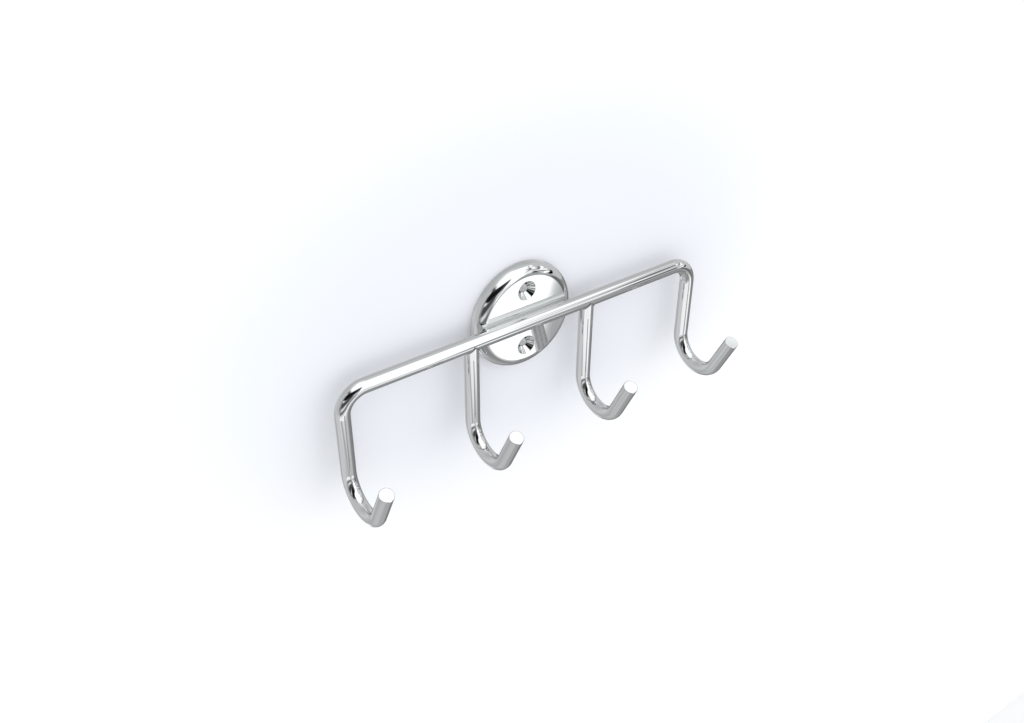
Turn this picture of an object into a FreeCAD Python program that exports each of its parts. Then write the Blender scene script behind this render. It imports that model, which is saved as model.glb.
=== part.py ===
"""Wall hook rack: a bent-rod rail with four hooks, welded to one round wall plate.

Frame: the origin is the centre of the plate's back, in the plane of the wall. +X runs along the rail,
+Y points into the wall, and +Z is up. Lengths are in millimetres and angles in degrees.
"""

import FreeCAD
import Part

import math
import os

import Sketcher
from FreeCAD import Placement, Rotation, Vector

SIZES = {
    "rod_diameter": 8.0,
    "hook_pitch": 75.0,
    "corner_radius": 13.0,
    "stem_drop": 48.5,
    "hook_radius": 16.0,
    "hook_turn": 154.5,
    "tip_length": 23.5,
    "tip_round": 0.4,
    "plate_diameter": 61.0,
    "plate_thickness": 7.7,
    "rim_round": 5.3,
    "back_chamfer": 0.5,
    "saddle_depth": 0.3,
    "screw_spacing": 34.0,
    "screw_hole": 5.0,
    "countersink_mouth": 11.0,
    "countersink_angle": 90.0,
    "mouth_round": 0.3,
    "relief_depth": 2.5,
    "relief_diameter": 52.0,
    "boss_diameter": 12.0,
    "boss_overlap": 1.0,
    "rail_weld_length": 40.0,
    "rail_weld_reach": 2.3,
    "hook_weld_radius": 0.5,
}

# The rod's centreline stands this far in front of the wall, as an expression over the sheet.
RAIL_STANDOFF = "(Sizes.plate_thickness + Sizes.rod_diameter / 2 - Sizes.saddle_depth)"
ROD_RADIUS = "(Sizes.rod_diameter / 2)"
# The hooks stand at these multiples of the pitch from the middle.
OUTER_PITCHES = 1.5
INNER_PITCHES = 0.5
OUTER_REACH = f"({OUTER_PITCHES} * Sizes.hook_pitch)"
INNER_REACH = f"({INNER_PITCHES} * Sizes.hook_pitch)"
# Cuts this many rod diameters long, or this many plate diameters long, pass right through.
CUT_RODS = 4
CUT_PLATES = 2
CUT_THROUGH_ROD = f"({CUT_RODS} * Sizes.rod_diameter)"
CUT_THROUGH_PLATE = f"({CUT_PLATES} * Sizes.plate_diameter)"
# Sketch references: the origin, the two axes, and the points of an element.
SKETCH_ORIGIN = (-1, 1)
X_AXIS = -1
Y_AXIS = -2
START, END, CENTRE = 1, 2, 3
# Edges are recognised to within this distance.
EDGE_TOLERANCE = 0.01


def make_sheet(doc):
    """Put every driving size in its own named cell."""
    sheet = doc.addObject("Spreadsheet::Sheet", "Sizes")
    for row, (name, value) in enumerate(SIZES.items(), start=1):
        sheet.set(f"A{row}", name)
        sheet.set(f"B{row}", str(value))
        sheet.setAlias(f"B{row}", name)
    doc.recompute()
    return sheet


def rail_standoff():
    """Distance from the wall to the rod's centreline."""
    return SIZES["plate_thickness"] + SIZES["rod_diameter"] / 2 - SIZES["saddle_depth"]


def origin_plane(body, role):
    """One of a body's own origin planes or axes."""
    return next(item for item in body.Origin.OriginFeatures if item.Role == role)


def new_body(doc, label):
    """An empty body, labelled as its sub-part."""
    body = doc.addObject("PartDesign::Body", label)
    body.Label = label
    return body


def new_sketch(body, name, role, offset="0"):
    """A sketch on one of the body's origin planes, moved along the plane's normal by an expression."""
    sketch = body.newObject("Sketcher::SketchObject", name)
    sketch.AttachmentSupport = [(origin_plane(body, role), "")]
    sketch.MapMode = "FlatFace"
    sketch.setExpression("AttachmentOffset.Base.z", offset)
    return sketch


def constrain(sketch, kind, *references):
    """Add a geometric constraint."""
    sketch.addConstraint(Sketcher.Constraint(kind, *references))


def measure(sketch, kind, expression, *references):
    """Add a driving dimension that follows an expression over the sheet."""
    index = sketch.addConstraint(Sketcher.Constraint(kind, *references))
    sketch.setExpression(f"Constraints[{index}]", expression)


def add_line(sketch, start, end):
    """A straight segment between two (x, y) points of the sketch."""
    return sketch.addGeometry(Part.LineSegment(Vector(*start, 0), Vector(*end, 0)))


def add_arc(sketch, centre, radius, start_angle, end_angle):
    """An anticlockwise arc, with its angles in radians."""
    circle = Part.Circle(Vector(*centre, 0), Vector(0, 0, 1), radius)
    return sketch.addGeometry(Part.ArcOfCircle(circle, start_angle, end_angle))


def place_point(sketch, geometry, point, x, x_expression, y, y_expression):
    """Fix a point at signed distances from the sketch origin, each with the expression for its size."""
    for kind, value, expression in (("DistanceX", x, x_expression), ("DistanceY", y, y_expression)):
        if value < 0:
            measure(sketch, kind, expression, geometry, point, *SKETCH_ORIGIN, -value)
        else:
            measure(sketch, kind, expression, *SKETCH_ORIGIN, geometry, point, value)


def add_circle(sketch, x, x_expression, y, y_expression, radius, radius_expression):
    """A circle whose centre and radius follow the sheet."""
    circle = sketch.addGeometry(Part.Circle(Vector(x, y, 0), Vector(0, 0, 1), radius))
    place_point(sketch, circle, CENTRE, x, x_expression, y, y_expression)
    measure(sketch, "Radius", radius_expression, circle, radius)


def rod_section(body, name, x, x_expression, height_expression):
    """The rod's round section, level, at a hook's x on the rail's centreline plane."""
    sketch = new_sketch(body, name, "XY_Plane", height_expression)
    radius = SIZES["rod_diameter"] / 2
    add_circle(sketch, x, x_expression, -rail_standoff(), RAIL_STANDOFF, radius, ROD_RADIUS)
    return sketch


def add_hook_curve(sketch):
    """The hook's curve and its straight tip, in a sketch whose x is +Y and y is +Z. Returns the curve."""
    radius = SIZES["hook_radius"]
    turn = math.radians(SIZES["hook_turn"])
    centre = Vector(-rail_standoff() - radius, -SIZES["stem_drop"], 0)
    curve = add_arc(sketch, (centre.x, centre.y), radius, -turn, 0)
    curve_end = centre + Vector(math.cos(turn), -math.sin(turn), 0) * radius
    tip_end = curve_end + Vector(-math.sin(turn), -math.cos(turn), 0) * SIZES["tip_length"]
    tip = add_line(sketch, (curve_end.x, curve_end.y), (tip_end.x, tip_end.y))
    constrain(sketch, "Tangent", curve, START, tip, START)
    measure(sketch, "Radius", "Sizes.hook_radius", curve, radius)
    measure(sketch, "Angle", "Sizes.hook_turn", curve, turn)
    measure(sketch, "Distance", "Sizes.tip_length", tip, SIZES["tip_length"])
    constrain(sketch, "Horizontal", curve, CENTRE, curve, END)
    return curve


def add_pipe(body, name, section, path):
    """Sweep the rod's section along a path."""
    pipe = body.newObject("PartDesign::AdditivePipe", name)
    pipe.Profile = section
    pipe.Spine = path
    return pipe


def add_rounding(doc, body, base, name, size, wanted):
    """Round the edges for which wanted(edge) is true, by a size from the sheet."""
    doc.recompute()
    edges = [
        f"Edge{number}"
        for number, edge in enumerate(base.Shape.Edges, start=1)
        if edge.Closed and wanted(edge)
    ]
    if not edges:
        raise ValueError(f"{name}: there is no edge to round")
    rounding = body.newObject("PartDesign::Fillet", name)
    rounding.Base = (base, edges)
    rounding.setExpression("Radius", f"Sizes.{size}")
    body.Tip = rounding
    return rounding


def round_tips(doc, body, base):
    """Round the edge of each flat-cut tip: the circles at a hook's front that touch no bend."""
    doc.recompute()
    front = base.Shape.BoundBox.YMin + SIZES["rod_diameter"]

    def at_tip(edge):
        faces = base.Shape.ancestorsOfType(edge, Part.Face)
        bent = any(face.Surface.TypeId == "Part::GeomToroid" for face in faces)
        return edge.CenterOfMass.y < front and not bent

    return add_rounding(doc, body, base, "TipRound", "tip_round", at_tip)


def round_mouths(doc, body, base):
    """Break the sharp edge of each countersink's mouth, where it meets the plate's face."""
    face_depth = -SIZES["plate_thickness"]
    mouth_radius = SIZES["countersink_mouth"] / 2

    def at_mouth(edge):
        in_face = math.isclose(edge.CenterOfMass.y, face_depth, abs_tol=EDGE_TOLERANCE)
        if not in_face or edge.Curve.TypeId != "Part::GeomCircle":
            return False
        return math.isclose(edge.Curve.Radius, mouth_radius, abs_tol=EDGE_TOLERANCE)

    return add_rounding(doc, body, base, "MouthRound", "mouth_round", at_mouth)


def make_hook_rail(doc):
    """Crossbar and both outer hooks: one rod, bent at two corners and rolled into a hook at each end."""
    body = new_body(doc, "hook_rail")
    reach = OUTER_PITCHES * SIZES["hook_pitch"]
    corner = SIZES["corner_radius"]
    drop = SIZES["stem_drop"]

    bar_path = new_sketch(body, "BarPath", "XZ_Plane", RAIL_STANDOFF)
    stem = add_line(bar_path, (-reach, -drop), (-reach, -corner))
    bend = add_arc(bar_path, (corner - reach, -corner), corner, math.pi / 2, math.pi)
    bar = add_line(bar_path, (corner - reach, 0), (0, 0))
    constrain(bar_path, "Tangent", stem, END, bend, END)
    constrain(bar_path, "Tangent", bend, START, bar, START)
    constrain(bar_path, "Vertical", stem)
    constrain(bar_path, "Coincident", bar, END, *SKETCH_ORIGIN)
    measure(bar_path, "Radius", "Sizes.corner_radius", bend, corner)
    place_point(bar_path, stem, START, -reach, OUTER_REACH, -drop, "Sizes.stem_drop")

    hook_path = new_sketch(body, "HookPath", "YZ_Plane", f"-{OUTER_REACH}")
    curve = add_hook_curve(hook_path)
    place_point(hook_path, curve, END, -rail_standoff(), RAIL_STANDOFF, -drop, "Sizes.stem_drop")

    section = rod_section(body, "RodSection", -reach, OUTER_REACH, "-Sizes.stem_drop")
    bar_half = add_pipe(body, "BarHalf", section, bar_path)
    hook = add_pipe(body, "OuterHook", section, hook_path)
    doc.recompute()

    both_sides = body.newObject("PartDesign::Mirrored", "BothSides")
    both_sides.Originals = [bar_half, hook]
    both_sides.MirrorPlane = (origin_plane(body, "YZ_Plane"), [""])
    body.Tip = both_sides
    round_tips(doc, body, both_sides)
    return body


def make_inner_hook(doc, label, side):
    """Rod bent into a hook, its top coped by a cylinder as wide as the rail, to fit the rail's underside."""
    body = new_body(doc, label)
    offset = side * INNER_PITCHES * SIZES["hook_pitch"]
    drop = SIZES["stem_drop"]
    standoff = rail_standoff()

    path = new_sketch(body, "HookPath", "YZ_Plane", f"{side} * {INNER_REACH}")
    curve = add_hook_curve(path)
    stem = add_line(path, (-standoff, 0), (-standoff, -drop))
    constrain(path, "Tangent", curve, END, stem, END)
    place_point(path, curve, END, -standoff, RAIL_STANDOFF, -drop, "Sizes.stem_drop")
    measure(path, "Distance", "Sizes.stem_drop", stem, drop)

    section = rod_section(body, "RodSection", offset, INNER_REACH, "0")
    rod = add_pipe(body, "BentRod", section, path)
    doc.recompute()
    uncoped_volume = rod.Shape.Volume

    cope_sketch = new_sketch(body, "CopeCircle", "YZ_Plane", f"{side} * {INNER_REACH}")
    radius = SIZES["rod_diameter"] / 2
    cope_circle = cope_sketch.addGeometry(Part.Circle(Vector(-standoff, 0, 0), Vector(0, 0, 1), radius))
    constrain(cope_sketch, "PointOnObject", cope_circle, CENTRE, X_AXIS)
    measure(cope_sketch, "DistanceX", RAIL_STANDOFF, cope_circle, CENTRE, *SKETCH_ORIGIN, standoff)
    measure(cope_sketch, "Radius", ROD_RADIUS, cope_circle, radius)
    cope = body.newObject("PartDesign::Pocket", "Cope")
    cope.Profile = cope_sketch
    cope.SideType = "Symmetric"
    cope.setExpression("Length", CUT_THROUGH_ROD)
    body.Tip = cope
    doc.recompute()
    if cope.Shape.Volume >= uncoped_volume:
        raise ValueError(f"{label}: the cope cut nothing")
    round_tips(doc, body, cope)
    return body


def add_plate_profile(body):
    """Half section of the plate: flat face, rounded rim, chamfered back edge, land and relief."""
    sketch = new_sketch(body, "PlateProfile", "XY_Plane")
    radius = SIZES["plate_diameter"] / 2
    thickness = SIZES["plate_thickness"]
    rim = SIZES["rim_round"]
    chamfer = SIZES["back_chamfer"]
    relief = SIZES["relief_depth"]
    relief_radius = SIZES["relief_diameter"] / 2

    face = add_line(sketch, (0, -thickness), (radius - rim, -thickness))
    rounding = add_arc(sketch, (radius - rim, rim - thickness), rim, -math.pi / 2, 0)
    side = add_line(sketch, (radius, rim - thickness), (radius, -chamfer))
    edge = add_line(sketch, (radius, -chamfer), (radius - chamfer, 0))
    land = add_line(sketch, (radius - chamfer, 0), (relief_radius, 0))
    wall = add_line(sketch, (relief_radius, 0), (relief_radius, -relief))
    floor = add_line(sketch, (relief_radius, -relief), (0, -relief))
    axis = add_line(sketch, (0, -relief), (0, -thickness))

    constrain(sketch, "Tangent", face, END, rounding, START)
    constrain(sketch, "Tangent", rounding, END, side, START)
    straights = (side, edge, land, wall, floor, axis, face)
    for first, second in zip(straights, straights[1:]):
        constrain(sketch, "Coincident", first, END, second, START)
    for line in (land, floor, face):
        constrain(sketch, "Horizontal", line)
    for line in (wall, axis):
        constrain(sketch, "Vertical", line)
    constrain(sketch, "PointOnObject", land, END, X_AXIS)
    constrain(sketch, "PointOnObject", face, START, Y_AXIS)
    measure(sketch, "Radius", "Sizes.rim_round", rounding, rim)
    measure(sketch, "DistanceY", "Sizes.plate_thickness", face, START, *SKETCH_ORIGIN, thickness)
    measure(sketch, "DistanceX", "Sizes.plate_diameter / 2", *SKETCH_ORIGIN, side, START, radius)
    measure(sketch, "DistanceX", "Sizes.relief_diameter / 2", *SKETCH_ORIGIN, wall, START, relief_radius)
    measure(sketch, "DistanceY", "Sizes.relief_depth", floor, START, *SKETCH_ORIGIN, relief)
    measure(sketch, "DistanceX", "Sizes.back_chamfer", edge, END, edge, START, chamfer)
    measure(sketch, "DistanceY", "Sizes.back_chamfer", edge, START, edge, END, chamfer)
    return sketch


def add_hole_circles(body, name, offset, diameter, diameter_expression):
    """Two circles one above the other, at the screw spacing, in a plane parallel to the wall."""
    sketch = new_sketch(body, name, "XZ_Plane", offset)
    half_spacing = SIZES["screw_spacing"] / 2
    for side in (1, -1):
        centre = Vector(0, side * half_spacing, 0)
        circle = sketch.addGeometry(Part.Circle(centre, Vector(0, 0, 1), diameter / 2))
        constrain(sketch, "PointOnObject", circle, CENTRE, Y_AXIS)
        ends = (*SKETCH_ORIGIN, circle, CENTRE) if side > 0 else (circle, CENTRE, *SKETCH_ORIGIN)
        measure(sketch, "DistanceY", "Sizes.screw_spacing / 2", *ends, half_spacing)
        measure(sketch, "Diameter", diameter_expression, circle, diameter)
    return sketch


def make_back_plate(doc):
    """Round plate turned about Y, with bosses behind two countersunk holes and a saddle for the rail."""
    body = new_body(doc, "back_plate")
    disc = body.newObject("PartDesign::Revolution", "Disc")
    disc.Profile = add_plate_profile(body)
    disc.ReferenceAxis = (origin_plane(body, "Y_Axis"), [""])
    disc.Angle = 360.0

    bosses = body.newObject("PartDesign::Pad", "Bosses")
    bosses.Profile = add_hole_circles(body, "BossCircles", "0", SIZES["boss_diameter"], "Sizes.boss_diameter")
    bosses.setExpression("Length", "Sizes.relief_depth + Sizes.boss_overlap")
    body.Tip = bosses
    doc.recompute()
    check_change(disc, bosses, grows=True)

    holes = body.newObject("PartDesign::Hole", "ScrewHoles")
    holes.Profile = add_hole_circles(
        body, "HoleCircles", "Sizes.plate_thickness", SIZES["screw_hole"], "Sizes.screw_hole"
    )
    body.Tip = holes
    doc.recompute()
    holes.ThreadType = "None"
    holes.DepthType = "ThroughAll"
    holes.HoleCutType = "Countersink"
    holes.HoleCutCustomValues = True
    holes.setExpression("Diameter", "Sizes.screw_hole")
    holes.setExpression("HoleCutDiameter", "Sizes.countersink_mouth")
    holes.setExpression("HoleCutCountersinkAngle", "Sizes.countersink_angle")
    doc.recompute()
    check_change(bosses, holes, grows=False)

    saddle_sketch = new_sketch(body, "SaddleCircle", "YZ_Plane")
    radius = SIZES["rod_diameter"] / 2
    standoff = rail_standoff()
    circle = saddle_sketch.addGeometry(Part.Circle(Vector(-standoff, 0, 0), Vector(0, 0, 1), radius))
    constrain(saddle_sketch, "PointOnObject", circle, CENTRE, X_AXIS)
    measure(saddle_sketch, "DistanceX", RAIL_STANDOFF, circle, CENTRE, *SKETCH_ORIGIN, standoff)
    measure(saddle_sketch, "Radius", ROD_RADIUS, circle, radius)
    saddle = body.newObject("PartDesign::Pocket", "Saddle")
    saddle.Profile = saddle_sketch
    saddle.SideType = "Symmetric"
    saddle.setExpression("Length", CUT_THROUGH_PLATE)
    body.Tip = saddle
    doc.recompute()
    check_change(holes, saddle, grows=False)
    round_mouths(doc, body, saddle)
    return body


def check_change(before, after, grows):
    """Stop if a feature that should add or remove metal did neither."""
    change = after.Shape.Volume - before.Shape.Volume
    if (change <= 0) if grows else (change >= 0):
        raise ValueError(f"{after.Name} changed the volume by {change:.3f}")


def make_rail_weld(doc, label, side):
    """Bead laid in the groove between the rail and the plate's face, above or below the rail."""
    body = new_body(doc, label)
    sketch = new_sketch(body, "BeadSection", "YZ_Plane")
    radius = SIZES["rod_diameter"] / 2
    standoff = rail_standoff()
    thickness = SIZES["plate_thickness"]
    reach = SIZES["rail_weld_reach"]
    root = math.sqrt(radius**2 - (standoff - thickness) ** 2)
    toe_angle = math.asin(reach / radius)
    root_angle = math.asin(root / radius)
    toe_depth = -standoff + radius * math.cos(toe_angle)

    start_angle, end_angle = sorted((side * root_angle, side * toe_angle))
    rod_side = add_arc(sketch, (-standoff, 0), radius, start_angle, end_angle)
    root_end, toe_end = (START, END) if side > 0 else (END, START)
    plate_side = add_line(sketch, (-thickness, side * root), (-thickness, side * reach))
    cap = add_line(sketch, (-thickness, side * reach), (toe_depth, side * reach))
    constrain(sketch, "Coincident", rod_side, root_end, plate_side, START)
    constrain(sketch, "Coincident", plate_side, END, cap, START)
    constrain(sketch, "Coincident", cap, END, rod_side, toe_end)
    constrain(sketch, "Vertical", plate_side)
    constrain(sketch, "Horizontal", cap)
    constrain(sketch, "PointOnObject", rod_side, CENTRE, X_AXIS)
    measure(sketch, "Radius", ROD_RADIUS, rod_side, radius)
    measure(sketch, "DistanceX", RAIL_STANDOFF, rod_side, CENTRE, *SKETCH_ORIGIN, standoff)
    measure(sketch, "DistanceX", "Sizes.plate_thickness", plate_side, START, *SKETCH_ORIGIN, thickness)
    ends = (*SKETCH_ORIGIN, cap, START) if side > 0 else (cap, START, *SKETCH_ORIGIN)
    measure(sketch, "DistanceY", "Sizes.rail_weld_reach", *ends, reach)

    bead = body.newObject("PartDesign::Pad", "Bead")
    bead.Profile = sketch
    bead.SideType = "Symmetric"
    bead.setExpression("Length", "Sizes.rail_weld_length")
    body.Tip = bead
    return body


def bead_sweep(doc, name, lean):
    """Round bead along the lower half of the ellipse where two equal rods cross, leaning 45 degrees."""
    seam = doc.addObject("Part::Ellipse", f"{name}Seam")
    seam.setExpression("MajorRadius", f"{ROD_RADIUS} * sqrt(2)")
    seam.setExpression("MinorRadius", ROD_RADIUS)
    seam.Angle1 = 90
    seam.Angle2 = 270
    seam.Placement = Placement(Vector(), Rotation(Vector(lean, 0, 1), Vector(0, 1, 0), Vector(), "XYZ"))
    section = doc.addObject("Part::Circle", f"{name}Section")
    section.setExpression("Radius", "Sizes.hook_weld_radius")
    section.setExpression("Placement.Base.y", ROD_RADIUS)
    section.Placement.Rotation = Rotation(Vector(0, 0, 1), Vector(lean, 0, 1))
    sweep = doc.addObject("Part::Sweep", name)
    sweep.Sections = [section]
    sweep.Spine = (seam, ["Edge1"])
    sweep.Solid = True
    return sweep


def make_hook_weld(doc, label, side):
    """Bead round the saddle joint between the rail and an inner hook."""
    parts = [bead_sweep(doc, f"{label}_bead_{number}", lean) for number, lean in ((1, 1), (2, -1))]
    for number, face in ((1, -1), (2, 1)):
        knot = doc.addObject("Part::Sphere", f"{label}_knot_{number}")
        knot.setExpression("Radius", "Sizes.hook_weld_radius")
        knot.setExpression("Placement.Base.y", f"{face} * {ROD_RADIUS}")
        parts.append(knot)
    ring = doc.addObject("Part::MultiFuse", f"{label}_ring")
    ring.Shapes = parts

    rods = []
    for number, direction in ((1, Vector(1, 0, 0)), (2, Vector(0, 0, 1))):
        rod = doc.addObject("Part::Cylinder", f"{label}_rod_{number}")
        rod.setExpression("Radius", ROD_RADIUS)
        rod.setExpression("Height", CUT_THROUGH_ROD)
        start = -direction * (CUT_RODS / 2) * SIZES["rod_diameter"]
        rod.Placement = Placement(start, Rotation(Vector(0, 0, 1), direction))
        rods.append(rod)
    crossing = doc.addObject("Part::MultiFuse", f"{label}_crossing")
    crossing.Shapes = rods

    weld = doc.addObject("Part::Cut", label)
    weld.Base = ring
    weld.Tool = crossing
    weld.Label = label
    weld.setExpression("Placement.Base.x", f"{side} * {INNER_REACH}")
    weld.setExpression("Placement.Base.y", f"-{RAIL_STANDOFF}")
    return weld


def check_document(doc, nodes):
    """Stop if any object failed or any sub-part is not one valid solid."""
    failed = [item.Label for item in doc.Objects if "Invalid" in item.State or "Error" in item.State]
    if failed:
        raise ValueError(f"these objects failed: {failed}")
    for node in nodes:
        shape = node.Shape
        if shape.isNull() or not shape.isValid() or len(shape.Solids) != 1:
            raise ValueError(f"{node.Label} is not one valid solid")


def export(nodes):
    """Write each sub-part to its own file."""
    os.makedirs("parts", exist_ok=True)
    for node in nodes:
        node.Shape.exportStep(f"parts/{node.Label}.step")
        box = node.Shape.BoundBox
        size = f"{box.XLength:.1f} x {box.YLength:.1f} x {box.ZLength:.1f} mm"
        print(f"{node.Label}: {node.Shape.Volume:.1f} mm3, {size}")


def main():
    doc = FreeCAD.newDocument("WallHookRack")
    make_sheet(doc)
    nodes = [
        make_back_plate(doc),
        make_hook_rail(doc),
        make_inner_hook(doc, "left_inner_hook", -1),
        make_inner_hook(doc, "right_inner_hook", 1),
        make_rail_weld(doc, "upper_rail_weld", 1),
        make_rail_weld(doc, "lower_rail_weld", -1),
        make_hook_weld(doc, "left_hook_weld", -1),
        make_hook_weld(doc, "right_hook_weld", 1),
    ]
    doc.recompute()
    check_document(doc, nodes)
    export(nodes)


main()
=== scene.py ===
"""Looks, light and camera for the wall hook rack. Metres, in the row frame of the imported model."""

import math

import bmesh
import bpy
from mathutils import Matrix, Vector

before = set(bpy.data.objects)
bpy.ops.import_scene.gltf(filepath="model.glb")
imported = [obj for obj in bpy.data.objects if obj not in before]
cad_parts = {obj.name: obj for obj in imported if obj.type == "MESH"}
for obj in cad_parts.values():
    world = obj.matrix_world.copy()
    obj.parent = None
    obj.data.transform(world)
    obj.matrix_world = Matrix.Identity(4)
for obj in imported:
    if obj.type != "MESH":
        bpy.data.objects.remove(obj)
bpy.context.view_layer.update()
scene = bpy.context.scene

# ---------------------------------------------------------------- camera

CAMERA_PLACE = Vector((-0.2826, -0.3936, 0.3088))
CAMERA_YAW = math.radians(35.30)
CAMERA_PITCH = math.radians(35.16)
CAMERA_ROLL = math.radians(0.30)
CAMERA_LENS_MM = 37.79
SENSOR_MM = 36.0
CLIP_START = 0.01
CLIP_END = 20.0


def make_camera():
    """The viewing angle: from the upper left, looking down and to the right at the wall."""
    data = bpy.data.cameras.new("camera")
    data.lens = CAMERA_LENS_MM
    data.sensor_width = SENSOR_MM
    data.clip_start = CLIP_START
    data.clip_end = CLIP_END
    camera = bpy.data.objects.new("camera", data)
    turn = (
        Matrix.Rotation(-CAMERA_YAW, 4, "Z")
        @ Matrix.Rotation(math.pi / 2 - CAMERA_PITCH, 4, "X")
        @ Matrix.Rotation(CAMERA_ROLL, 4, "Z")
    )
    camera.matrix_world = Matrix.Translation(CAMERA_PLACE) @ turn
    scene.collection.objects.link(camera)
    scene.camera = camera


make_camera()

# ---------------------------------------------------------------- small node helpers

# The mix node's sockets for each kind of value: low, high and result.
MIX_SOCKETS = {"FLOAT": (2, 3, 0), "RGBA": (6, 7, 2)}


class Nodes:
    """A node tree with short calls for the nodes that this script uses."""

    def __init__(self, tree):
        self.tree = tree
        tree.nodes.clear()

    def add(self, kind, **settings):
        """A new node with these settings."""
        node = self.tree.nodes.new(kind)
        for name, value in settings.items():
            setattr(node, name, value)
        return node

    def feed(self, socket, value):
        """Links an output socket, or sets a plain value."""
        if isinstance(value, bpy.types.NodeSocket):
            self.tree.links.new(value, socket)
        else:
            socket.default_value = value

    def feed_all(self, node, *values):
        """Feeds a node's inputs in their order."""
        for socket, value in zip(node.inputs, values):
            self.feed(socket, value)
        return node

    def math(self, operation, *values):
        """The result of a plain sum."""
        return self.feed_all(self.add("ShaderNodeMath", operation=operation), *values).outputs[0]

    def vector(self, operation, *values):
        """The node of a sum with vectors."""
        return self.feed_all(self.add("ShaderNodeVectorMath", operation=operation), *values)

    def length(self, across, up):
        """The length of the flat vector (across, up)."""
        squares = self.math("ADD", self.math("MULTIPLY", across, across), self.math("MULTIPLY", up, up))
        return self.math("SQRT", squares)

    def place(self):
        """Where the shaded point is, in its object's own coordinates."""
        return self.add("ShaderNodeTexCoord").outputs["Object"]

    def split(self, vector):
        """The x, y and z of a vector."""
        return self.feed_all(self.add("ShaderNodeSeparateXYZ"), vector).outputs

    def mix(self, factor, low, high, kind="FLOAT"):
        """low where factor is 0, high where it is 1: numbers, or colours if kind is RGBA."""
        low_socket, high_socket, result = MIX_SOCKETS[kind]
        node = self.add("ShaderNodeMix", data_type=kind)
        self.feed(node.inputs[0], factor)
        self.feed(node.inputs[low_socket], low)
        self.feed(node.inputs[high_socket], high)
        return node.outputs[result]

    def smooth(self, value, low, high, out_low=0.0, out_high=1.0):
        """A smooth step from out_low at low to out_high at high."""
        node = self.add("ShaderNodeMapRange", interpolation_type="SMOOTHSTEP")
        return self.feed_all(node, value, low, high, out_low, out_high).outputs[0]

    def output(self, shader):
        """Ends a material's tree with this shader."""
        self.feed(self.add("ShaderNodeOutputMaterial").inputs[0], shader.outputs[0])


def new_material(name):
    """A material and its empty node tree."""
    material = bpy.data.materials.new(name)
    material.use_nodes = True
    return material, Nodes(material.node_tree)


# ---------------------------------------------------------------- studio light

# Radiance by elevation above the horizon, in degrees: floor, low white band, walls and ceiling.
SKY = (
    (-90, 0.68), (-78, 0.6), (-66, 0.48), (-52, 0.42), (-46, 0.52), (-42, 0.74), (-39, 1), (-37, 1.4),
    (-34, 1.6), (-29, 1.5), (-26, 1.15), (-22, 0.5), (-18, 0.42), (-14, 0.62), (-10, 0.7), (-6, 0.6),
    (-1, 0.9), (6, 1.5), (25, 1.8), (45, 2), (60, 1.9), (90, 2.2),
)
# The same for the wall side, behind the rack.
REAR_SKY = (
    (-90, 0.68), (-60, 0.66), (-40, 0.7), (-25, 0.84), (-12, 1), (0, 0.92), (25, 0.76), (45, 0.78),
    (60, 0.95), (75, 1.4), (90, 2.2),
)
# The ramp holds brightness as a share of this.
SKY_TOP = 4.0
# Azimuths, in degrees, over which the front list gives way to the rear one.
REAR_FROM = 88.0
REAR_FULL = 110.0
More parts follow.
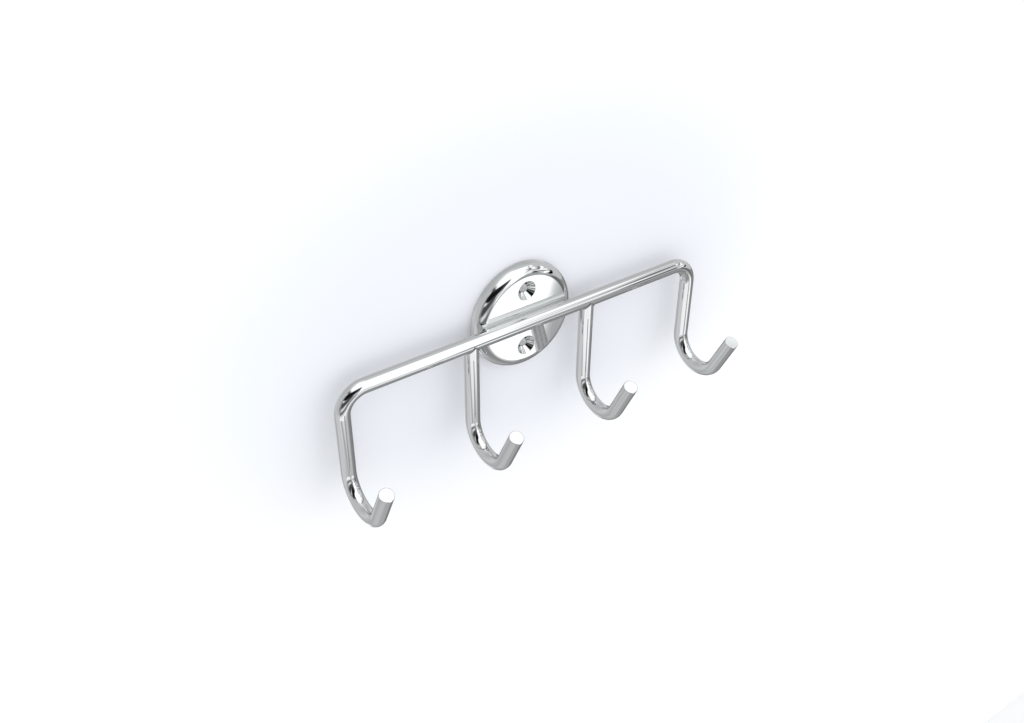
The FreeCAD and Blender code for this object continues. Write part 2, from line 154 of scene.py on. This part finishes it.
# Light and dark cards around the rack, laid over the lists in turn. Azimuth 0 is straight out from the wall,
# and grows to the right.
# name, azimuth, elevation, half width, half height, tilt, feather (all degrees), radiance
CARDS = (
    ("left_wall", -104, 22, 27, 40, 0, 14, 0.86),
    ("left_near", -78, 14, 8, 24, 0, 10, 0.42),
    ("left_upper", -74, 52, 22, 5, 0, 8, 0.45),
    ("left_low", -96, -34, 30, 16, 0, 14, 1),
    ("left_floor", -95, -66, 48, 14, 0, 20, 0.86),
    ("left_valley", -46, -37.4, 24, 1.2, -7, 2.4, 0.6),
    ("left_mid", -38, 6, 33, 10, 0, 8, 0.115),
    ("dark_halo", -33, 29, 43, 15, -14, 7, 0.1),
    ("dark_room", -37, 29, 33, 10.5, -8, 7, 0.012),
    ("left_band", -36, -9.5, 17, 3.4, 0, 4, 1.25),
    ("low_line", -30, -19, 32, 2.6, -3, 4, 0.25),
    ("low_dip", 1, -43, 4.5, 5, 0, 4, 0.38),
    ("dip_mid", 2, -22, 8, 4, 20, 4, 0.2),
    ("low_shelf", 14, -38.5, 14, 1.8, 0, 3, 0.85),
    ("right_high", 118, 60, 30, 14, 0, 20, 0.92),
    ("right_grey", 82, 14, 42, 30, 0, 5, 0.92),
    ("right_white", 59, 35, 12, 4, 36, 3, 1.7),
    ("arc_low", 38.3, 1.8, 2.8, 6.4, 0, 2, 0.06),
    ("arc_mid", 38, 25, 8, 1.8, 38, 2.6, 0.42),
    ("arc_high", 50, 36.6, 9, 1.7, 40, 2.4, 0.2),
    ("arc_top", 70, 49, 12, 1.5, 8, 3, 0.6),
    ("arc_second", 63, 25.5, 14, 1.7, 28, 3, 0.24),
    ("right_light", 70, 22.5, 14, 2.3, 22, 2.6, 2.1),
    ("right_shelf", 56, 11.5, 14, 2.2, 8, 2.6, 2),
    ("line_upper", 48, 6, 9, 1.9, -3, 2, 0.06),
    ("right_gleam", 50, -2.6, 8.5, 2.1, 40, 2, 2.6),
    ("right_low", 82, -36, 44, 23, 0, 2, 0.41),
    ("right_rear", 128, -42, 34, 27, 0, 14, 0.3),
    ("right_stripe", 61, -0.7, 17, 2.2, 31, 1.6, 0),
    ("white_column", 19, 16, 9, 34, 0, 6, 2.8),
    ("right_edge", 32, -15.5, 7, 12.5, 0, 4, 0.6),
    ("right_under", 51, -21.5, 11, 7, 15, 4, 0.26),
    ("right_notch", 41.5, -17.5, 3.5, 3.5, 0, 3, 0.85),
    ("column_foot", 18, -13, 5, 11, 22, 5, 1.35),
    ("right_step", 44.7, -36.2, 7.8, 5.6, 0, 0.8, 0.66),
    ("low_gleam", 33.5, -45, 8, 2.2, -25, 2.5, 1.1),
    ("face_white", 33.8, -32.6, 3.6, 4.2, -14, 0.7, 2.1),
    ("edge_glow", -174, -50, 12, 9, 0, 8, 1.7),
)
STUDIO_TINT = (0.985, 1.0, 1.012, 1.0)
STUDIO_RADIUS = 6.0
STUDIO_FINENESS = 4
STUDIO_LEVEL = 0.81
AMBIENT = 1.42
QUARTER_TURN = 90.0
HALF_TURN = 180.0
CARD_INPUTS = (
    "Value", "Azimuth", "Elevation", "Centre A", "Centre E", "Half A", "Half E", "Tilt", "Feather", "Light",
)


def make_card_group():
    """A node group that lays one soft card over the brightness so far."""
    group = bpy.data.node_groups.new("card", "ShaderNodeTree")
    for name in CARD_INPUTS:
        group.interface.new_socket(name, in_out="INPUT", socket_type="NodeSocketFloat")
    group.interface.new_socket("Value", in_out="OUTPUT", socket_type="NodeSocketFloat")
    g = Nodes(group)
    source = g.add("NodeGroupInput").outputs[:len(CARD_INPUTS)]
    value, azimuth, elevation, centre_a, centre_e, half_a, half_e, tilt, feather, light = source
    across = g.math("WRAP", g.math("SUBTRACT", azimuth, centre_a), HALF_TURN, -HALF_TURN)
    up = g.math("SUBTRACT", elevation, centre_e)
    angle = g.math("RADIANS", tilt)
    cosine = g.math("COSINE", angle)
    sine = g.math("SINE", angle)
    along = g.math("ADD", g.math("MULTIPLY", across, cosine), g.math("MULTIPLY", up, sine))
    aside = g.math("SUBTRACT", g.math("MULTIPLY", up, cosine), g.math("MULTIPLY", across, sine))
    soft = g.math("MULTIPLY", feather, 0.5)
    inside = []
    for distance, half in ((along, half_a), (aside, half_e)):
        size = g.math("ABSOLUTE", distance)
        inside.append(g.smooth(size, g.math("SUBTRACT", half, soft), g.math("ADD", half, soft), 1.0, 0.0))
    cover = g.math("MULTIPLY", *inside)
    g.feed(g.add("NodeGroupOutput").inputs[0], g.mix(cover, value, light))
    return group


def add_sky(w, elevation, sky):
    """Radiance from a list of elevations."""
    ramp = w.add("ShaderNodeValToRGB")
    w.feed(ramp.inputs[0], w.math("DIVIDE", w.math("ADD", elevation, QUARTER_TURN), HALF_TURN))
    stops = ramp.color_ramp.elements
    for number, (angle, light) in enumerate(sky):
        position = (angle + QUARTER_TURN) / HALF_TURN
        # A new ramp has two stops already.
        stop = stops[number] if number < 2 else stops.new(position)
        stop.position = position
        level = light / SKY_TOP
        stop.color = (level, level, level, 1)
    return w.math("MULTIPLY", ramp.outputs[0], SKY_TOP)


def studio_light(w):
    """Radiance by direction: the front and rear lists, with the cards laid over them in turn."""
    x, y, z = w.split(w.vector("NORMALIZE", w.place()).outputs[0])
    azimuth = w.math("DEGREES", w.math("ARCTAN2", x, w.math("MULTIPLY", y, -1.0)))
    elevation = w.math("DEGREES", w.math("ARCSINE", z))
    front = w.smooth(w.math("ABSOLUTE", azimuth), REAR_FROM, REAR_FULL, 1.0, 0.0)
    value = w.mix(front, add_sky(w, elevation, REAR_SKY), add_sky(w, elevation, SKY))
    card = make_card_group()
    for name, *numbers in CARDS:
        node = w.add("ShaderNodeGroup", node_tree=card, label=name)
        value = w.feed_all(node, value, azimuth, elevation, *numbers).outputs[0]
    return value


def make_studio():
    """A large shell of soft cards that only reflections see."""
    mesh = bpy.data.meshes.new("studio")
    shell = bmesh.new()
    bmesh.ops.create_icosphere(shell, subdivisions=STUDIO_FINENESS, radius=STUDIO_RADIUS)
    shell.to_mesh(mesh)
    shell.free()
    studio = bpy.data.objects.new("studio", mesh)
    scene.collection.objects.link(studio)
    studio.visible_camera = False
    studio.visible_diffuse = False
    studio.visible_shadow = False
    material, w = new_material("studio_cards")
    material.cycles.emission_sampling = "NONE"
    glow = w.add("ShaderNodeEmission")
    w.feed(glow.inputs["Color"], STUDIO_TINT)
    w.feed(glow.inputs["Strength"], w.math("MULTIPLY", studio_light(w), STUDIO_LEVEL))
    w.output(glow)
    mesh.materials.append(material)


def make_ambient():
    """Even light from all around for the wall and the floor, and the plain backdrop that the camera sees."""
    world = bpy.data.worlds.new("ambient")
    world.use_nodes = True
    world.cycles_visibility.glossy = False
    scene.world = world
    w = Nodes(world.node_tree)
    glow = w.add("ShaderNodeBackground")
    w.feed(glow.inputs["Color"], STUDIO_TINT)
    w.feed(glow.inputs["Strength"], AMBIENT)
    w.feed(w.add("ShaderNodeOutputWorld").inputs[0], glow.outputs[0])


make_studio()
make_ambient()
scene.view_settings.view_transform = "Standard"

# ---------------------------------------------------------------- wall and floor

WALL_GAP = 0.0004
WALL_HALF = 2.0
WALL_HOLE = 0.029
WALL_RING_POINTS = 96
# Painted shade: the wall colour near the rack is darker and bluish, standing in for the soft shade the rack
# casts on the wall. The far colour is the wall's own.
WALL_PAINTED_SHADE = (0.728, 0.738, 0.775, 1.0)
WALL_FAR = (0.86, 0.86, 0.86, 1.0)
# Where the painted shade lies on the wall: its centre height, where it starts to fade, where it is gone, and
# how much it is squashed up and down.
PAINTED_SHADE_CENTRE_Z = 0.01
PAINTED_SHADE_INNER = 0.10
PAINTED_SHADE_OUTER = 0.28
PAINTED_SHADE_SQUASH = 1.6
FLOOR_HALF = 4.0
FLOOR_DROP = 1.0
FLOOR_COLOUR = (0.80, 0.80, 0.80, 1.0)


def wall_mesh():
    """A square that faces the room, with a round opening that the plate hides."""
    inner = []
    outer = []
    for step in range(WALL_RING_POINTS):
        turn = 2 * math.pi * step / WALL_RING_POINTS
        cosine = math.cos(turn)
        sine = math.sin(turn)
        stretch = WALL_HALF / max(abs(cosine), abs(sine))
        inner.append((WALL_HOLE * cosine, WALL_GAP, WALL_HOLE * sine))
        outer.append((stretch * cosine, WALL_GAP, stretch * sine))
    faces = []
    for step in range(WALL_RING_POINTS):
        after = (step + 1) % WALL_RING_POINTS
        faces.append((step, after, WALL_RING_POINTS + after, WALL_RING_POINTS + step))
    mesh = bpy.data.meshes.new("wall")
    mesh.from_pydata(inner + outer, [], faces)
    if mesh.polygons[0].normal.y > 0:
        mesh.flip_normals()
    return mesh


def wall_paint_and_painted_shade():
    """Pale paint that shows only from the front, with painted shade near the rack: darker and faintly blue,
    where the rack shades the wall.
    """
    material, m = new_material("wall_paint_and_painted_shade")
    across, _, up = m.split(m.place())
    up = m.math("MULTIPLY", m.math("SUBTRACT", up, PAINTED_SHADE_CENTRE_Z), PAINTED_SHADE_SQUASH)
    # 0 in the painted shade near the rack, 1 beyond it.
    far = m.smooth(m.length(across, up), PAINTED_SHADE_INNER, PAINTED_SHADE_OUTER)
    paint = m.add("ShaderNodeBsdfDiffuse")
    m.feed(paint.inputs[0], m.mix(far, WALL_PAINTED_SHADE, WALL_FAR, kind="RGBA"))
    behind = m.add("ShaderNodeNewGeometry").outputs["Backfacing"]
    clear = m.add("ShaderNodeBsdfTransparent")
    m.output(m.feed_all(m.add("ShaderNodeMixShader"), behind, paint.outputs[0], clear.outputs[0]))
    return material


def make_wall():
    """A pale wall just behind the plate."""
    mesh = wall_mesh()
    wall = bpy.data.objects.new("wall", mesh)
    wall.visible_glossy = False
    scene.collection.objects.link(wall)
    mesh.materials.append(wall_paint_and_painted_shade())


def make_floor():
    """A pale floor well below the rack."""
    mesh = bpy.data.meshes.new("floor")
    corners = [(x * FLOOR_HALF, y * FLOOR_HALF, -FLOOR_DROP) for x, y in ((-1, -1), (1, -1), (1, 1), (-1, 1))]
    mesh.from_pydata(corners, [], [(0, 1, 2, 3)])
    floor = bpy.data.objects.new("floor", mesh)
    scene.collection.objects.link(floor)
    floor.visible_glossy = False
    material, m = new_material("floor_paint")
    paint = m.add("ShaderNodeBsdfDiffuse")
    m.feed(paint.inputs[0], FLOOR_COLOUR)
    m.output(paint)
    mesh.materials.append(material)


make_wall()
make_floor()

# ---------------------------------------------------------------- metal

CHROME = (0.677, 0.686, 0.684, 1.0)
WORN_CHROME = (0.59, 0.575, 0.55, 1.0)
# The weld beads' colour: darker than the chrome, partly for the rougher weld metal and partly as painted
# contact shade where the rail meets the plate.
WELD_CHROME_AND_PAINTED_SHADE = (0.48, 0.48, 0.47, 1.0)
ROD_ROUGHNESS = 0.040
PLATE_ROUGHNESS = 0.035
WELD_ROUGHNESS = 0.11
# Marks per metre across the polishing direction, and along it.
MARKS_ACROSS = 2600.0
MARKS_ALONG = 45.0
MARK_DEPTH = 0.0000015
WELD_MARKS = 1260.0
WELD_MARK_DEPTH = 6 * MARK_DEPTH
NOISE_MIDDLE = 0.5
# Haze: its scale, the noise range that it spans, and how much it scales the roughness at either end.
HAZE_SCALE = 85.0
HAZE_RANGE = (0.30, 0.70)
HAZE_CLEAR = 0.6
HAZE_THICK = 1.5
# Pits: their scale, the noise range below which they show, and their height beside the marks.
PIT_SCALE = 420.0
PIT_RARE = (0.20, 0.28)
PIT_HEIGHT = -0.8
# Edge wear: its reach, the cosines of the turn that count as an edge, and where haze thins it out.
EDGE_REACH = 0.00035
EDGE_SAMPLES = 4
EDGE_TURN = (0.80, 0.99)
EDGE_PATCHES = (0.35, 0.60)
EDGE_FAINT = 0.25
EDGE_DULL = 0.10
# Hairline scratches: their directions, scales, the noise range above which they show, height and roughness.
SCRATCH_TURNS = ((0.4, 0.9, 0.2), (1.3, 0.3, 1.1))
SCRATCH_ALONG = 70.0
SCRATCH_ACROSS = 5200.0
SCRATCH_RARE = (0.75, 0.82)
SCRATCH_HEIGHT = -0.08
SCRATCH_DULL = 0.03
# Heights where the rail's own marks, along X, give way to the hooks' marks, in the hooks' planes.
RAIL_MARKS_ABOVE = -0.004
HOOK_MARKS_BELOW = -0.012


def marks(m, place, scale_x, scale_y, scale_z, detail=2.0):
    """Noise stretched by these scales. Unequal ones give streaks, long where the scale is small."""
    noise = m.add("ShaderNodeTexNoise")
    m.feed(noise.inputs["Vector"], m.vector("MULTIPLY", place, (scale_x, scale_y, scale_z)).outputs[0])
    m.feed(noise.inputs["Scale"], 1.0)
    m.feed(noise.inputs["Detail"], detail)
    return noise.outputs[0]


def rod_marks(m, place):
    """Marks that run along the rail at the top and along the hooks below it."""
    along_rail = marks(m, place, MARKS_ALONG, MARKS_ACROSS, MARKS_ACROSS)
    along_hook = marks(m, place, MARKS_ACROSS, MARKS_ALONG, MARKS_ALONG)
    height = m.split(place)[2]
    return m.mix(m.smooth(height, HOOK_MARKS_BELOW, RAIL_MARKS_ABOVE), along_hook, along_rail)


def plate_marks(m, place):
    """Marks that run in circles around the plate's centre, as turning leaves them."""
    x, y, z = m.split(place)
    radius = m.length(x, z)
    around = m.math("MULTIPLY", m.math("ARCTAN2", z, x), radius)
    polar = m.feed_all(m.add("ShaderNodeCombineXYZ"), radius, y, around)
    return marks(m, polar.outputs[0], MARKS_ACROSS, MARKS_ACROSS, MARKS_ALONG)


def weld_marks(m, place):
    """The uneven skin of a ground and polished weld bead."""
    return marks(m, place, WELD_MARKS, WELD_MARKS, WELD_MARKS, detail=4.0)


def hairlines(m, place):
    """Sparse hairline scratches in two directions: 1 in a scratch, 0 elsewhere."""
    lines = []
    for turn in SCRATCH_TURNS:
        swing = m.add("ShaderNodeVectorRotate", rotation_type="EULER_XYZ")
        m.feed(swing.inputs["Vector"], place)
        m.feed(swing.inputs["Rotation"], turn)
        noise = marks(m, swing.outputs[0], SCRATCH_ALONG, SCRATCH_ACROSS, SCRATCH_ALONG, detail=0.0)
        lines.append(m.smooth(noise, *SCRATCH_RARE))
    return m.math("MAXIMUM", *lines)


def edge_wear(m, haze):
    """1 on a worn edge, 0 away from edges, and patchy where the haze is thin."""
    rounded = m.add("ShaderNodeBevel", samples=EDGE_SAMPLES)
    m.feed(rounded.inputs["Radius"], EDGE_REACH)
    plain = m.add("ShaderNodeNewGeometry").outputs["Normal"]
    turned = m.vector("DOT_PRODUCT", rounded.outputs[0], plain).outputs["Value"]
    edge = m.smooth(turned, *EDGE_TURN, 1.0, 0.0)
    return m.math("MULTIPLY", edge, m.smooth(haze, *EDGE_PATCHES, EDGE_FAINT, 1.0))


def surface_bump(m, depth, streaks, pits, scratches):
    """The bump of the polishing marks, pits and scratches."""
    height = m.math("ADD", streaks, m.math("MULTIPLY", pits, PIT_HEIGHT))
    height = m.math("ADD", height, m.math("MULTIPLY", scratches, SCRATCH_HEIGHT))
    bump = m.add("ShaderNodeBump")
    m.feed(bump.inputs["Strength"], 1.0)
    m.feed(bump.inputs["Distance"], depth)
    m.feed(bump.inputs["Height"], height)
    return bump.outputs[0]


def surface_roughness(m, roughness, streaks, haze, worn, scratches):
    """Roughness that varies with the haze, the marks, the wear and the scratches."""
    dull = m.smooth(haze, *HAZE_RANGE, roughness * HAZE_CLEAR, roughness * HAZE_THICK)
    dull = m.math("ADD", dull, m.math("MULTIPLY", m.math("SUBTRACT", streaks, NOISE_MIDDLE), roughness))
    dull = m.math("ADD", dull, m.math("MULTIPLY", worn, EDGE_DULL))
    return m.math("ADD", dull, m.math("MULTIPLY", scratches, SCRATCH_DULL))


def make_chrome(name, colour, roughness, depth, pattern):
    """Mirror-polished chrome with polishing marks, faint haze, sparse pits and slightly worn edges."""
    material, m = new_material(name)
    place = m.place()
    streaks = pattern(m, place)
    haze = marks(m, place, HAZE_SCALE, HAZE_SCALE, HAZE_SCALE, detail=4.0)
    pits = m.smooth(marks(m, place, PIT_SCALE, PIT_SCALE, PIT_SCALE, detail=1.0), *PIT_RARE, 1.0, 0.0)
    scratches = hairlines(m, place)
    worn = edge_wear(m, haze)
    shader = m.add("ShaderNodeBsdfPrincipled")
    m.feed(shader.inputs["Base Color"], m.mix(worn, colour, WORN_CHROME, kind="RGBA"))
    m.feed(shader.inputs["Metallic"], 1.0)
    m.feed(shader.inputs["Roughness"], surface_roughness(m, roughness, streaks, haze, worn, scratches))
    m.feed(shader.inputs["Normal"], surface_bump(m, depth, streaks, pits, scratches))
    m.output(shader)
    return material


def finish_metal():
    """Gives each CAD node its metal."""
    rod = make_chrome("rod_chrome", CHROME, ROD_ROUGHNESS, MARK_DEPTH, rod_marks)
    plate = make_chrome("plate_chrome", CHROME, PLATE_ROUGHNESS, MARK_DEPTH, plate_marks)
    # The welds' darker colour is partly painted contact shade.
    weld = make_chrome("weld_chrome", WELD_CHROME_AND_PAINTED_SHADE, WELD_ROUGHNESS, WELD_MARK_DEPTH, weld_marks)
    for name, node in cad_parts.items():
        if name.endswith("_weld"):
            metal = weld
        elif name == "back_plate":
            metal = plate
        else:
            metal = rod
        node.data.materials.clear()
        node.data.materials.append(metal)


finish_metal()
